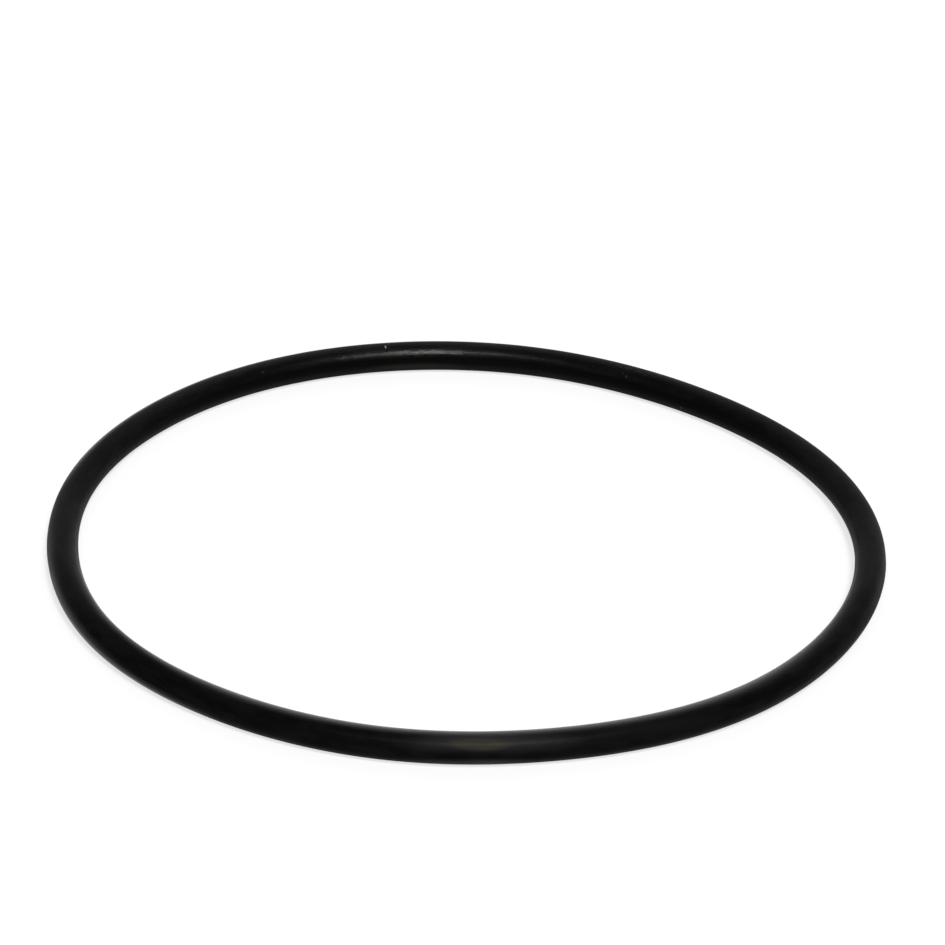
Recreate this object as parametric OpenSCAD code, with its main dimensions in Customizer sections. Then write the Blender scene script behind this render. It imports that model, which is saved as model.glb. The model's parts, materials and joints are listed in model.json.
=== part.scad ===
// Rubber o-ring, compression moulded in one piece: a round cord section swept once round
// a circle, with the fine trimmed parting line that the two mould halves leave at its
// inside and outside edges. The origin is the centre of the ring, at the middle of its
// height, and Z is its axis.

/* [Ring] */
// Inside diameter of the ring, between the round sections
inside_d = 88.49; // [50:0.01:140]
// Diameter of the round section
section_d = 3.53; // [1.78:0.01:7]

/* [Parting line] */
// How far the trimmed flash stands out of the round section
flash_proud = 0.05; // [0.03:0.01:0.1]
// Height of the flat land that trimming leaves on the flash
flash_land = 0.1; // [0.06:0.01:0.2]

/* [Finish] */
// Flat steps round the section where the ring is drawn as a mesh
section_steps = 72; // [48:12:144]
// Flat steps round the ring where it is drawn as a mesh
ring_steps = 240; // [120:24:480]

/* [Hidden] */
section_r = section_d / 2;
ring_r = inside_d / 2 + section_r;
rubber_black = [0.07, 0.07, 0.07];

// Rubber that the parting plane of the mould holds: a strip across the whole section,
// of which only the trimmed flash shows, outside the round at the ring's inside and
// outside edges. Its flanks slope at 45 degrees and start inside the round, as deep
// under the surface as the land stands above it.
module flash_strip() {
    tip_x = section_r + flash_proud;
    root_x = section_r - flash_proud;
    tip_z = flash_land / 2;
    root_z = tip_z + (tip_x - root_x);
    polygon([
        [-tip_x, -tip_z],
        [-root_x, -root_z],
        [root_x, -root_z],
        [tip_x, -tip_z],
        [tip_x, tip_z],
        [root_x, root_z],
        [-root_x, root_z],
        [-tip_x, tip_z]
    ]);
}

// The section as it leaves the mould and the trimming
module section() {
    circle(r = section_r, $fn = section_steps);
    flash_strip();
}

module o_ring() {
    color(rubber_black)
        rotate_extrude($fn = ring_steps)
            translate([ring_r, 0]) section();
}

o_ring();
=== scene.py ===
import json
import math

import bpy
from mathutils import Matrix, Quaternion, Vector, noise


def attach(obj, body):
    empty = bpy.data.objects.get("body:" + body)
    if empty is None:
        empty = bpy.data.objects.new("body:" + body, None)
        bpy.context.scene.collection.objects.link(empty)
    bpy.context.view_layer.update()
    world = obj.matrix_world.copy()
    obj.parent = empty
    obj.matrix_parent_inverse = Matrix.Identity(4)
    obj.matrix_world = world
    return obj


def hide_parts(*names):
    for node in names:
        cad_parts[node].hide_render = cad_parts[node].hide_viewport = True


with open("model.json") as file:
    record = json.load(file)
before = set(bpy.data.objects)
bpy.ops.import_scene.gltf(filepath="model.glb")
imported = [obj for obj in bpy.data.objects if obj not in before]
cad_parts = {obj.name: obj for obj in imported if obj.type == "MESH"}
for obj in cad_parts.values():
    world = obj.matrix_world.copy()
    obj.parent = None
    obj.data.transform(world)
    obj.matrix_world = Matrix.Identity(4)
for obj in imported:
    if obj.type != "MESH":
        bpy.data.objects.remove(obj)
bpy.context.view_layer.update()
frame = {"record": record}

MM = 0.001

# Sizes of the ring, from the diameter of the cord and the mounts at its two parting edges
CORD_DIAMETER = 3.53 * MM
mounts = {mount["name"]: mount["dims"] for mount in frame["record"]["mounts"]}
bore_r = mounts["inside_edge"]["r_mm"] * MM
rim_r = mounts["outside_edge"]["r_mm"] * MM
ring_r = (bore_r + rim_r) / 2
section_r = CORD_DIAMETER / 2
flash_proud = (rim_r - bore_r) / 2 - section_r
flash_land = mounts["inside_edge"]["length_mm"] * MM
floor_z = -section_r

# How the soft ring lies out of round, as waves round its centre line: how many high
# places a wave has, how high they are in mm, and the direction of one in degrees
RELAXED_WAVES = (
    (2, 0.10, 70.0),
    (3, 0.36, -9.5),
    (4, 0.08, 26.0),
    (5, 0.09, 16.0),
    (6, 0.06, 20.0),
    (7, 0.04, 6.0),
    (8, 0.05, -11.0),
)
# Share of the flash that trimming leaves, and the least of it
FLASH_LEFT = 0.20
FLASH_LEAST = 0.05
# How that share varies along the ring: how close the waves are and how much they change it
FLASH_RAGGED = ((18.0, 0.14), (90.0, 0.10))
# Where the inside edge and the outside edge are in the noise, apart so that they differ
FLASH_NOISE = (7.0, 3.0)
# Size and height of the places where the skin isn't perfectly even, in mm
SKIN_WAVE = (2.4, 0.004)

# Mesh of the ring
RING_STEPS = 1500
ARC_POINTS = 23  # across each half of the section, between the two parting lines
# Heights of the mesh lines on the flash, in mm from the parting plane
FLASH_LINES = (-0.20, -0.13, -0.09, -0.05, 0.0, 0.05, 0.09, 0.13, 0.20)
# The texture map has the skin in this many strips, with gaps between them
MAP_STRIPS = 5
MAP_GAP = 0.006

# Camera, placed so that the ring lies as in the photograph
IMAGE_SIDE = 945
RING_CENTRE_PX = (464.3, 538.2)
CAMERA_DISTANCE = 0.5387
CAMERA_ELEVATION = math.radians(28.79)
CAMERA_ROLL = math.radians(2.147)
LENS_MM = 180.16
SENSOR_MM = 36.0

# Light: a soft box, a wide dim strip beside it, and a dim room whose far side is pale.
# A soft box has its azimuth and elevation in degrees, distance and size in m, and how
# bright it looks
KEY_BOX = (16.2, 53.0, 3.0, (0.60, 0.85), 42.5)
STRIP_BOX = (10.0, 58.0, 3.0, (2.6, 0.5), 7.5)
ROOM_LEVEL = 0.08
# Two sides of the room: the Y of the directions where each begins and is full, and how
# much it adds to the room's level
FAR_WALL = (0.17, 0.67, 0.92)
NEAR_WALL = (-0.30, -0.95, 0.25)
# Share of plain white that the camera and reflections see in the floor
FLOOR_WHITE = 0.72
FLOOR_COLOUR = (0.93, 0.93, 0.93, 1.0)
# Half the side of the floor, in m
FLOOR_HALF = 3.0

# Zones of the skin. A pair of numbers is where a zone begins and where it is full. Depth is
# in mm behind the ring's axis, height is in mm above the parting line, and across runs from
# -1 at the inside edge of the cord to 1 at its outside edge
BEHIND_DEPTH = (0.0, 10.0)
FAR_DEPTH = (12.0, 37.0)
NEAR_DEPTH = (8.0, -38.0)
FACE_DEPTH = (0.0, 35.0)
ROUGHER_DEPTH = (0.0, -40.0)
RIM_BELOW_HEIGHT = (1.2, 0.4)
FACE_BELOW_HEIGHT = (0.0, -0.5)
UNDERNEATH_HEIGHT = (-0.6, -1.0)
FACE_ACROSS = (-0.84, -0.97)
LEFT_ACROSS = (0.0, 0.5)
SIDE_ACROSS = (0.1, 0.95)
# Stretches of the ring: a direction in degrees, and how far from the axis in that direction
# the stretch begins and is full, in mm
WORN_STRETCH = (52.0, 37.0, 45.0)
LEFT_STRETCH = (142.0, 39.0, 45.0)
BRIGHT_STRETCH = (212.0, 42.4, 46.2)
RIM_STRETCH = (278.0, 20.0, 44.0)
# How far the skin is turned from the viewer where it begins to count as edge-on, and fully
EDGE_ON = (0.45, 1.0)

# Weight of the thin glossy layer: inside and outside at the two ends, behind them, on the far
# side, and on the near side, which is worn dull
SIDE_GLOSS = (0.088, 0.052)
BEHIND_GLOSS = 0.055
FAR_GLOSS = 0.15
NEAR_GLOSS = 0.02
# The far side's inner face, which is dull: above and below the parting line, and underneath
FACE_GLOSS = (0.025, 0.085, 0.045)
# Share of the gloss that is left in the worn stretch of the far side
WORN_LEFT = 0.74
# What the near half gains where the skin is edge-on: above, below, and below in the bright
# stretch
RIM_GLOSS = (0.97, 0.13, 0.58)
# How much sooner that begins: above in the rim's stretch, the share of that below, and below
# in the bright stretch
RIM_WIDER = (0.34, 0.7, 0.12)
# What the outer skin of the left stretch gains in the same way
LEFT_GLOSS = 0.6
COAT_ROUGHNESS = 0.27
COAT_IOR = 1.5
# The duller rubber under it, which reflects next to nothing itself
BASE_SPECULAR = 0.0074
BASE_ROUGHNESS = (0.52, 0.44)
# What the near side is rougher by
NEAR_ROUGHER = 0.14

# Noise on the skin, in mm: streaks that the mould leaves along the ring, a fine grain,
# blotches, and strokes that break up the painted glints. Stretch is how many times longer it is along
# the ring
STREAK_STRETCH = 3.2
STREAK_SIZE = 0.42
STREAK_HEIGHT = 0.035
GRAIN_SIZE = 0.2
GRAIN_HEIGHT = 0.014
BLOTCH_SIZE = 1.1
STROKE_STRETCH = 7.0
STROKE_SIZE = 0.09
# Levels of the blotches between which the film sets in, the roughness changes and the painted
# sheen grows from its least share to full, and levels of the strokes between which painted glints set
# in
FILM_LEVELS = (0.35, 0.7)
ROUGH_LEVELS = (0.3, 0.7)
SHEEN_PATCH_LEVELS = (0.25, 0.65)
SHEEN_PATCH_LEAST = 0.75
STROKE_LEVELS = (0.5, 0.64)

# Colours of the bare rubber, of the thin film on parts of it, of the painted shade on the far side's
# inner face, of dust, and of the painted shade in small pits
RUBBER_COLOUR = (0.0019, 0.0019, 0.0019, 1.0)
FILM_COLOUR = (0.0039, 0.0037, 0.0037, 1.0)
FACE_SHADE_COLOUR = (0.0017, 0.0017, 0.0017, 1.0)
DUST_COLOUR = (0.20, 0.20, 0.19, 1.0)
PIT_SHADE_COLOUR = (0.0004, 0.0004, 0.0004, 1.0)

# A place on the skin is the angle round the ring and the angle round the section from the
# outside edge over the top, in degrees.
# Painted sheen, highlights and reflections in the colour: place, size in mm across and along the
# cord, the share that fades, and colour
PAINTED_SHEEN_SPOTS = (
    # Painted highlight haze round the far highlight, and a painted reflection of the floor low on the
    # far inner face
    ((99.0, 134.0, 1.9, 36.0, 0.95), (0.0085, 0.0078, 0.0062, 1.0)),
    ((98.5, 201.0, 1.5, 24.0, 0.9), (0.0095, 0.0091, 0.0084, 1.0)),
    # Painted sheen and highlight on the near side, warm in its middle
    ((290.0, 56.0, 3.6, 84.0, 0.9), (0.0050, 0.0048, 0.0054, 1.0)),
    ((274.5, 56.0, 3.3, 30.0, 0.9), (0.0160, 0.0160, 0.0166, 1.0)),
    ((272.9, 45.0, 1.8, 8.0, 0.5), (0.0266, 0.0225, 0.0176, 1.0)),
    # Painted pale glow along the near side's lower outside edge
    ((273.0, 328.0, 1.7, 18.0, 0.9), (0.0210, 0.0210, 0.0214, 1.0)),
)
# Painted glints along the far highlight, a painted smear of highlight beside it, and lighter strokes
# on the top, broken up finely: the same values
PAINTED_GLINTS_AND_STROKES = (
    ((98.2, 135.0, 0.55, 9.0, 0.6), (0.0750, 0.0720, 0.0670, 1.0)),
    ((109.0, 138.5, 1.1, 11.0, 0.9), (0.0260, 0.0250, 0.0220, 1.0)),
    ((62.0, 92.0, 1.5, 28.0, 0.8), (0.0190, 0.0180, 0.0140, 1.0)),
    ((128.0, 92.0, 1.5, 34.0, 0.8), (0.0110, 0.0105, 0.0090, 1.0)),
)
# Specks of dust: place, size in mm across and along the cord, and how thick
DUST_SPECKS = (
    (103.2, 108.0, 0.64, 0.26, 1.0),
    (65.5, 130.5, 0.34, 0.30, 0.05),
    (64.8, 139.5, 0.42, 0.30, 0.10),
    (70.6, 129.8, 0.26, 0.26, 0.04),
    (54.4, 198.7, 0.36, 0.36, 0.22),
    (66.6, 207.8, 0.26, 0.26, 0.08),
    (68.1, 92.7, 0.30, 0.40, 0.10),
    (63.7, 89.6, 0.30, 0.60, 0.07),
    (62.0, 114.6, 0.26, 0.26, 0.04),
    (123.8, 133.7, 0.30, 0.40, 0.08),
    (276.8, 48.2, 0.26, 0.26, 0.05),
)
# Noise that makes the specks ragged, its size and reach in mm, and the share of a speck that
# fades
DUST_RAGGED = (0.25, 0.12)
DUST_FADING = 0.6
# Small pits, drawn only as painted shade and without gloss: place, and size in mm across and along
# the cord
PITS = (
    (99.4, 152.9, 0.30, 0.50),
    (97.2, 151.8, 0.34, 0.26),
    (95.2, 152.5, 0.26, 0.24),
    (94.7, 152.5, 0.26, 0.24),
    (103.1, 127.0, 0.60, 0.24),
)
PIT_FADING = 0.5


def make_camera():
    """The camera looks along +Y and down, turned so that the ring's centre falls on its pixel."""
    data = bpy.data.cameras.new("camera")
    data.lens = LENS_MM
    data.sensor_width = SENSOR_MM
    data.clip_start = 0.01
    data.clip_end = 20.0
    camera = bpy.data.objects.new("camera", data)
    bpy.context.scene.collection.objects.link(camera)
    back = Vector((0.0, -math.cos(CAMERA_ELEVATION), math.sin(CAMERA_ELEVATION)))
    camera.location = back * CAMERA_DISTANCE
    focal_px = LENS_MM / SENSOR_MM * IMAGE_SIDE
    middle = IMAGE_SIDE / 2
    to_centre = Vector((
        (RING_CENTRE_PX[0] - middle) / focal_px,
        (middle - RING_CENTRE_PX[1]) / focal_px,
        -1.0,
    ))
    aim = to_centre.rotation_difference(Vector((0.0, 0.0, -1.0)))
    roll = Quaternion((0.0, 0.0, 1.0), CAMERA_ROLL)
    camera.rotation_mode = "QUATERNION"
    camera.rotation_quaternion = (-back).to_track_quat("-Z", "Y") @ roll @ aim
    bpy.context.scene.camera = camera


def centre_line_r(angle):
    """Distance of the cord's middle from the ring's axis at that angle round the ring."""
    waves = sum(
        height * math.cos(count * (angle - math.radians(direction)))
        for count, height, direction in RELAXED_WAVES
    )
    return ring_r + waves * MM


def skin_point(angle, section_angle, rise=0.0):
    """A place on the round skin of the ring, or that far above it."""
    outward = Vector((math.cos(angle), math.sin(angle), 0.0))
    normal = outward * math.cos(section_angle)
    normal.z = math.sin(section_angle)
    return outward * centre_line_r(angle) + normal * (section_r + rise)


def section_angles():
    """Angles round the section, from the outside edge over the top: close at the flash."""
    flash = [height * MM / section_r for height in FLASH_LINES]
    start, end = flash[-1], math.pi - flash[-1]
    arc = [start + (end - start) * (k + 1) / (ARC_POINTS + 1) for k in range(ARC_POINTS)]
    half = flash + arc
    return half + [angle + math.pi for angle in half]


def trimmed_flash(angle, section_angle):
    """How far the flash stands out of the round section there, ragged where it was torn off."""
    height = abs(section_r * math.sin(section_angle))
    flank = (flash_land / 2 + flash_proud - height) / flash_proud
    if flank <= 0:
        return 0.0
    inside, outside = FLASH_NOISE
    edge = inside if math.cos(section_angle) < 0 else outside
    along = Vector((math.cos(angle), math.sin(angle), edge))
    left = FLASH_LEFT
    for closeness, change in FLASH_RAGGED:
        left += change * noise.noise(along * closeness)
    return flash_proud * min(1.0, flank) * max(FLASH_LEAST, min(1.0, left))


def skin_wave(place):
    """How far the skin stands out or in at a place, as it isn't perfectly even."""
    size, height = SKIN_WAVE
    return noise.noise(place / (size * MM)) * height * MM


def write_across(mesh, angles):
    """The mesh's places across the cord, from -1 at the inside edge to 1 at the outside edge."""
    row = [math.cos(angle) for angle in angles]
    across = mesh.attributes.new("across", "FLOAT", "POINT")
    across.data.foreach_set("value", row * RING_STEPS)


def write_map(mesh, angles):
    """The map that textures of the ring are made through: strips of skin, one above another."""
    steps = RING_STEPS // MAP_STRIPS
    length, width = 1 - 2 * MAP_GAP, 1 / MAP_STRIPS - 2 * MAP_GAP
    around = [(angle - angles[0]) / (2 * math.pi) for angle in angles] + [1.0]
    layer = mesh.uv_layers.new(name="OFBake")
    corners = []
    for i in range(RING_STEPS):
        strip, step = divmod(i, steps)
        left = MAP_GAP + length * step / steps
        right = left + length / steps
        low = strip / MAP_STRIPS + MAP_GAP
        for k in range(len(angles)):
            here, there = low + width * around[k], low + width * around[k + 1]
            corners += [left, here, right, here, right, there, left, there]
    layer.data.foreach_set("uv", corners)


def make_ring():
    """The ring's mesh: the section with its flash, swept round the relaxed centre line."""
    angles = section_angles()
    count = len(angles)
    vertices = []
    for i in range(RING_STEPS):
        angle = 2 * math.pi * i / RING_STEPS
        for section_angle in angles:
            wave = skin_wave(skin_point(angle, section_angle))
            place = skin_point(angle, section_angle, trimmed_flash(angle, section_angle) + wave)
            place.z = max(place.z, floor_z)
            vertices.append(place)
    faces = []
    for i in range(RING_STEPS):
        here, there = i * count, (i + 1) % RING_STEPS * count
        for k in range(count):
            after = (k + 1) % count
            faces.append((here + k, there + k, there + after, here + after))
    mesh = bpy.data.meshes.new("moulded_ring")
    mesh.from_pydata(vertices, [], faces)
    mesh.polygons.foreach_set("use_smooth", [True] * len(faces))
    write_across(mesh, angles)
    write_map(mesh, angles)
    mesh.update()
    ring = bpy.data.objects.new("moulded_ring", mesh)
    bpy.context.scene.collection.objects.link(ring)
    return ring


def new_node(tree, kind, links=(), **values):
    """A shader node with its settings, and its inputs set or linked by name or number."""
    made = tree.nodes.new(kind)
    for name, value in values.items():
        setattr(made, name, value)
    for socket, value in dict(links).items():
        if isinstance(value, bpy.types.NodeSocket):
            tree.links.new(value, made.inputs[socket])
        else:
            made.inputs[socket].default_value = value
    return made


def calculate(tree, operation, first, second):
    """One sum on two values."""
    return new_node(tree, "ShaderNodeMath", {0: first, 1: second}, operation=operation).outputs[0]


def spread(tree, value, low, high, to_low=0.0, to_high=1.0):
    """A value between low and high, spread smoothly over another range."""
    made = new_node(tree, "ShaderNodeMapRange", {
        "Value": value, "From Min": low, "From Max": high, "To Min": to_low, "To Max": to_high,
    }, interpolation_type="SMOOTHSTEP")
    return made.outputs[0]


def between(tree, share, first, second):
    """A value between two others."""
    made = new_node(tree, "ShaderNodeMix", {0: share, 2: first, 3: second}, data_type="FLOAT")
    return made.outputs[0]


def mixed(tree, share, first, second):
    """A colour between two others."""
    made = new_node(tree, "ShaderNodeMix", {0: share, 6: first, 7: second}, data_type="RGBA")
    return made.outputs[2]


def noise_at(tree, place, size, detail=2.0, roughness=0.5):
    """Noise whose blotches are about that size."""
    made = new_node(tree, "ShaderNodeTexNoise", {
        "Vector": place, "Scale": 1 / size, "Detail": detail, "Roughness": roughness,
    })
    return made.outputs["Fac"]


def drawn_out(tree, place, stretch):
    """Coordinates on a ring that much shorter, so that what is put on them comes out long."""
    flat = new_node(tree, "ShaderNodeVectorMath", {
        0: place, 1: (1.0, 1.0, 0.0),
    }, operation="MULTIPLY").outputs[0]
    up = new_node(tree, "ShaderNodeVectorMath", {
        0: place, 1: (0.0, 0.0, 1.0),
    }, operation="MULTIPLY").outputs[0]
    radius = new_node(tree, "ShaderNodeVectorMath", {0: flat}, operation="LENGTH").outputs["Value"]
    outward = new_node(tree, "ShaderNodeVectorMath", {0: flat}, operation="NORMALIZE").outputs[0]
    reach = calculate(tree, "SUBTRACT", radius, ring_r * (1 - 1 / stretch))
    around = new_node(tree, "ShaderNodeVectorMath", {
        0: outward, "Scale": reach,
    }, operation="SCALE").outputs[0]
    return new_node(tree, "ShaderNodeVectorMath", {0: around, 1: up}).outputs[0]


def spot_mask(tree, place, ring_angle, section_angle, across, along, fading):
    """1 in the middle of a spot on the skin and 0 outside it."""
    turn = math.radians(ring_angle)
    near = new_node(tree, "ShaderNodeMapping", {
        "Vector": place,
        "Location": skin_point(turn, math.radians(section_angle)),
        "Rotation": (0.0, 0.0, turn),
        "Scale": (across / 2 * MM, along / 2 * MM, across / 2 * MM),
    }, vector_type="TEXTURE").outputs[0]
    apart = new_node(tree, "ShaderNodeVectorMath", {0: near}, operation="LENGTH").outputs["Value"]
    return spread(tree, apart, 1.0, 1.0 - fading)


def dust_mask(tree, place):
    """Where the specks of dust lie, and how thick they are."""
    size, reach = DUST_RAGGED
    stray = new_node(tree, "ShaderNodeTexNoise", {
        "Vector": place, "Scale": 1 / (size * MM), "Detail": 2.0,
    }).outputs["Color"]
    moved = new_node(tree, "ShaderNodeVectorMath", {
        0: stray, 1: (0.5, 0.5, 0.5),
    }, operation="SUBTRACT").outputs[0]
    ragged = new_node(tree, "ShaderNodeVectorMath", {
        0: moved, 1: (reach * MM,) * 3, 2: place,
    }, operation="MULTIPLY_ADD").outputs[0]
    total = 0.0
    for *spot, thickness in DUST_SPECKS:
        speck = spot_mask(tree, ragged, *spot, DUST_FADING)
        total = calculate(tree, "MAXIMUM", total, calculate(tree, "MULTIPLY", speck, thickness))
    return total


def pit_mask(tree, place):
    """Where the small pits are, which are painted dark as shade."""
    total = 0.0
    for pit in PITS:
        total = calculate(tree, "MAXIMUM", total, spot_mask(tree, place, *pit, PIT_FADING))
    return total


def rubber_colour(tree, place, blotches, painted_face_shade, pits):
    """Black rubber with a patchy film, painted sheen, highlights and glints in places, painted shade
    on the far inner face and in pits, and dust.
    """
    film = spread(tree, blotches, *FILM_LEVELS)
    patchy = spread(tree, blotches, *SHEEN_PATCH_LEVELS, SHEEN_PATCH_LEAST, 1.0)
    # Strokes that break up the painted glints
    strokes = noise_at(tree, drawn_out(tree, place, STROKE_STRETCH), STROKE_SIZE * MM)
    broken = spread(tree, strokes, *STROKE_LEVELS)
    colour = mixed(tree, film, RUBBER_COLOUR, FILM_COLOUR)
    # Painted shade on the far side's inner face
    colour = mixed(tree, painted_face_shade, colour, FACE_SHADE_COLOUR)
    # The painted sheen spots and the painted glints go into the colour here
    for breaks, spots in ((patchy, PAINTED_SHEEN_SPOTS), (broken, PAINTED_GLINTS_AND_STROKES)):
        for spot, spot_colour in spots:
            share = calculate(tree, "MULTIPLY", spot_mask(tree, place, *spot), breaks)
            colour = mixed(tree, share, colour, spot_colour)
    # Painted shade in the pits
    colour = mixed(tree, pits, colour, PIT_SHADE_COLOUR)
    return mixed(tree, dust_mask(tree, place), colour, DUST_COLOUR)


def in_zone(tree, value, zone, outside=0.0, inside=1.0):
    """One value outside a zone and another inside it, for a depth or height."""
    begins, full = zone
    return spread(tree, value, begins * MM, full * MM, outside, inside)


def in_stretch(tree, place, stretch, outside=0.0, inside=1.0):
    """One value outside a stretch of the ring and another inside it."""
    direction, begins, full = stretch
    turn = math.radians(direction)
    reach = new_node(tree, "ShaderNodeVectorMath", {
        0: place, 1: (math.cos(turn), math.sin(turn), 0.0),
    }, operation="DOT_PRODUCT").outputs["Value"]
    return in_zone(tree, reach, (begins, full), outside, inside)


def edge_on(tree, wider=0.0):
    """1 where the skin is seen edge-on and 0 where it isn't. The more wider, the sooner it begins."""
    turned = new_node(tree, "ShaderNodeLayerWeight", {"Blend": 0.5}).outputs["Facing"]
    return spread(tree, calculate(tree, "ADD", turned, wider), *EDGE_ON)


def near_gloss(tree, place, height):
    """Gloss of the near half, which is low but where the skin turns edge-on."""
    above, below, brightest = RIM_GLOSS
    most_wider, share_below, bright_wider = RIM_WIDER
    lower = in_zone(tree, height, RIM_BELOW_HEIGHT)
    wider_above = in_stretch(tree, place, RIM_STRETCH, 0.0, most_wider)
    wider_below = calculate(tree, "MULTIPLY", wider_above, share_below)
    wider_there = in_stretch(tree, place, BRIGHT_STRETCH, 0.0, bright_wider)
    wider_below = calculate(tree, "MAXIMUM", wider_below, wider_there)
    edge = edge_on(tree, between(tree, lower, wider_above, wider_below))
    gloss_below = in_stretch(tree, place, BRIGHT_STRETCH, below, brightest)
    gain = calculate(tree, "MULTIPLY", edge, between(tree, lower, above, gloss_below))
    return calculate(tree, "ADD", gain, NEAR_GLOSS)


def left_gloss(tree, place, across):
    """What the outer skin behind the left end gains in gloss where it turns edge-on."""
    there = in_stretch(tree, place, LEFT_STRETCH, 0.0, LEFT_GLOSS)
    there = calculate(tree, "MULTIPLY", there, spread(tree, across, *LEFT_ACROSS))
    return calculate(tree, "MULTIPLY", edge_on(tree), there)


def far_gloss(tree, place, height, face):
    """Gloss of the far half, whose inner face and underside are dull."""
    above, below, underneath = FACE_GLOSS
    face_gloss = in_zone(tree, height, FACE_BELOW_HEIGHT, above, below)
    gloss = between(tree, face, FAR_GLOSS, face_gloss)
    gloss = between(tree, in_zone(tree, height, UNDERNEATH_HEIGHT), gloss, underneath)
    worn = in_stretch(tree, place, WORN_STRETCH, 1.0, WORN_LEFT)
    return calculate(tree, "MULTIPLY", gloss, worn)


def gloss_weight(tree, place, parts, across, face, pits):
    """Weight of the glossy layer from place to place."""
    depth, height = parts["Y"], parts["Z"]
    far = far_gloss(tree, place, height, face)
    near = near_gloss(tree, place, height)
    side = spread(tree, across, *SIDE_ACROSS, *SIDE_GLOSS)
    gloss = in_zone(tree, depth, BEHIND_DEPTH, side, BEHIND_GLOSS)
    gloss = between(tree, in_zone(tree, depth, FAR_DEPTH), gloss, far)
    gloss = calculate(tree, "ADD", gloss, left_gloss(tree, place, across))
    gloss = between(tree, in_zone(tree, depth, NEAR_DEPTH), gloss, near)
    return between(tree, pits, gloss, 0.0)


def rubber_relief(tree, place, along):
    """The uneven skin: streaks along the ring and a fine grain over them."""
    streaks = new_node(tree, "ShaderNodeBump", {
        "Height": noise_at(tree, along, STREAK_SIZE * MM),
        "Strength": 1.0, "Distance": STREAK_HEIGHT * MM,
    }).outputs[0]
    return new_node(tree, "ShaderNodeBump", {
        "Height": noise_at(tree, place, GRAIN_SIZE * MM, 2.0, 0.6),
        "Strength": 1.0, "Distance": GRAIN_HEIGHT * MM, "Normal": streaks,
    }).outputs[0]


def rubber_material():
    """Black rubber under a thin glossy layer, whose gloss and dullness go by place."""
    material = bpy.data.materials.new("black_rubber")
    material.use_nodes = True
    tree = material.node_tree
    shader = tree.nodes["Principled BSDF"].inputs
    place = new_node(tree, "ShaderNodeTexCoord").outputs["Object"]
    parts = new_node(tree, "ShaderNodeSeparateXYZ", {0: place}).outputs
    depth = parts["Y"]
    across = new_node(tree, "ShaderNodeAttribute", attribute_name="across").outputs["Fac"]
    along = drawn_out(tree, place, STREAK_STRETCH)
    blotches = noise_at(tree, along, BLOTCH_SIZE * MM, 3.0, 0.55)
    pits = pit_mask(tree, place)
    face = spread(tree, across, *FACE_ACROSS)
    # Painted shade: the far side's inner face is drawn darker, without the film
    painted_face_shade = calculate(tree, "MULTIPLY", face, in_zone(tree, depth, FACE_DEPTH))

    # This colour carries painted sheen, highlights, glints and shade besides the rubber's own film
    # and dust
    colour = rubber_colour(tree, place, blotches, painted_face_shade, pits)
    tree.links.new(colour, shader["Base Color"])
    rough = spread(tree, blotches, *ROUGH_LEVELS, *BASE_ROUGHNESS)
    rougher = in_zone(tree, depth, ROUGHER_DEPTH, 0.0, NEAR_ROUGHER)
    tree.links.new(calculate(tree, "ADD", rough, rougher), shader["Roughness"])
    tree.links.new(gloss_weight(tree, place, parts, across, face, pits), shader["Coat Weight"])
    relief = rubber_relief(tree, place, along)
    tree.links.new(relief, shader["Normal"])
    tree.links.new(relief, shader["Coat Normal"])
    shader["Specular IOR Level"].default_value = BASE_SPECULAR
    shader["Coat IOR"].default_value = COAT_IOR
    shader["Coat Roughness"].default_value = COAT_ROUGHNESS
    return material


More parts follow.
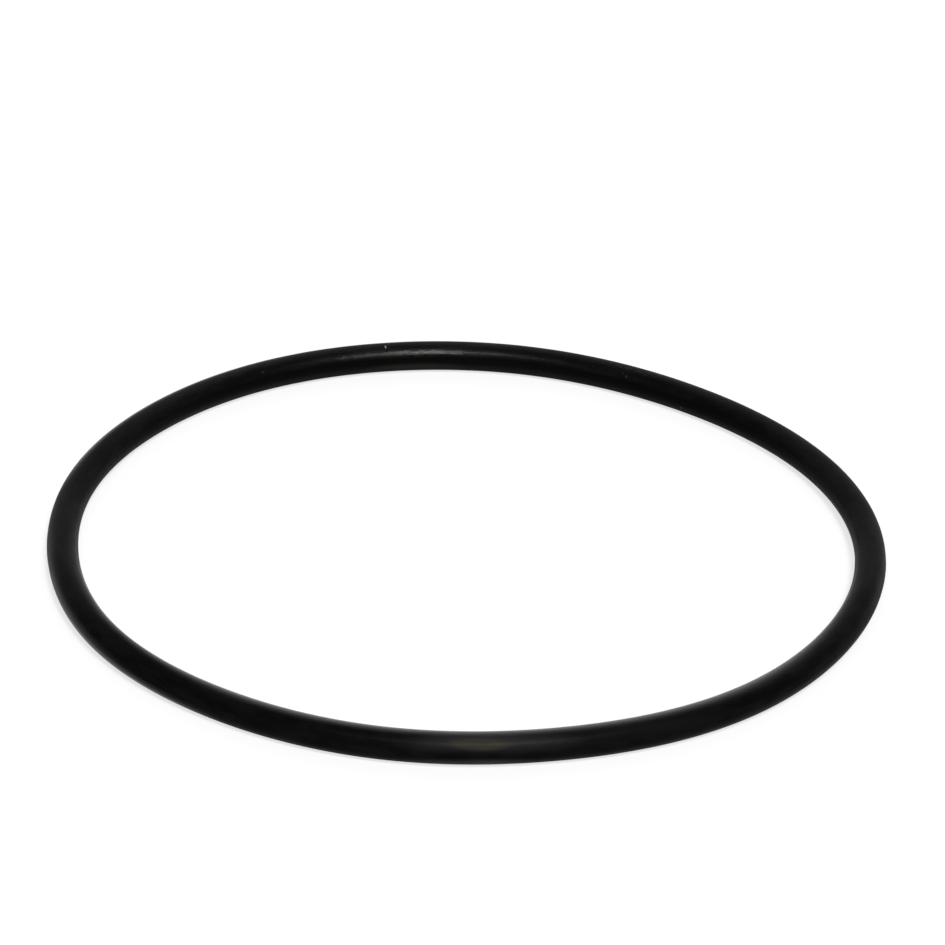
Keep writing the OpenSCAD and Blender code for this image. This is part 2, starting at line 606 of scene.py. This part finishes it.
def floor_material():
    """Plain pale floor. Part of what the camera and reflections see in it is plain white."""
    material = bpy.data.materials.new("pale_floor")
    material.use_nodes = True
    tree = material.node_tree
    shader = tree.nodes["Principled BSDF"]
    shader.inputs["Base Color"].default_value = FLOOR_COLOUR
    shader.inputs["Roughness"].default_value = 1.0
    shader.inputs["Specular IOR Level"].default_value = 0.0
    rays = new_node(tree, "ShaderNodeLightPath").outputs
    seen = calculate(tree, "MAXIMUM", rays["Is Camera Ray"], rays["Is Glossy Ray"])
    seen = calculate(tree, "MAXIMUM", seen, rays["Is Transmission Ray"])
    white = new_node(tree, "ShaderNodeEmission", {"Color": (1.0, 1.0, 1.0, 1.0), "Strength": 1.0})
    surface = new_node(tree, "ShaderNodeMixShader", {
        0: calculate(tree, "MULTIPLY", seen, FLOOR_WHITE),
        1: shader.outputs[0],
        2: white.outputs[0],
    })
    tree.links.new(surface.outputs[0], tree.nodes["Material Output"].inputs["Surface"])
    return material


def make_floor():
    """A flat floor, which the ring lies on."""
    half = FLOOR_HALF
    corners = [(-half, -half), (half, -half), (half, half), (-half, half)]
    mesh = bpy.data.meshes.new("floor")
    mesh.from_pydata([(x, y, floor_z) for x, y in corners], [], [(0, 1, 2, 3)])
    mesh.materials.append(floor_material())
    floor = bpy.data.objects.new("floor", mesh)
    bpy.context.scene.collection.objects.link(floor)


def soft_box(name, azimuth, elevation, distance, size, level):
    """A soft box that faces the ring. Azimuth 0 is on the camera's side and 90 on its right."""
    turn, rise = math.radians(azimuth), math.radians(elevation)
    toward = Vector((
        math.sin(turn) * math.cos(rise), -math.cos(turn) * math.cos(rise), math.sin(rise),
    ))
    data = bpy.data.lights.new(name, "AREA")
    data.shape = "RECTANGLE"
    data.size, data.size_y = size
    data.energy = level * math.pi * data.size * data.size_y
    lamp = bpy.data.objects.new(name, data)
    lamp.location = toward * distance
    lamp.rotation_mode = "QUATERNION"
    lamp.rotation_quaternion = (-toward).to_track_quat("-Z", "Y")
    bpy.context.scene.collection.objects.link(lamp)


def make_light():
    """Two soft boxes over the camera's side, and a dim room whose far side is pale."""
    soft_box("key", *KEY_BOX)
    soft_box("strip", *STRIP_BOX)
    world = bpy.data.worlds.new("room")
    world.use_nodes = True
    tree = world.node_tree
    direction = new_node(tree, "ShaderNodeTexCoord").outputs["Generated"]
    depth = new_node(tree, "ShaderNodeSeparateXYZ", {0: direction}).outputs["Y"]
    level = ROOM_LEVEL
    for begins, full, adds in (FAR_WALL, NEAR_WALL):
        level = calculate(tree, "ADD", level, spread(tree, depth, begins, full, 0.0, adds))
    background = tree.nodes["Background"].inputs
    background["Color"].default_value = (1.0, 1.0, 1.0, 1.0)
    tree.links.new(level, background["Strength"])
    bpy.context.scene.world = world


make_camera()
ring = make_ring()
ring.data.materials.append(rubber_material())
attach(ring, "root")
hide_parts("o_ring")
make_floor()
make_light()
bpy.context.scene.view_settings.view_transform = "Standard"
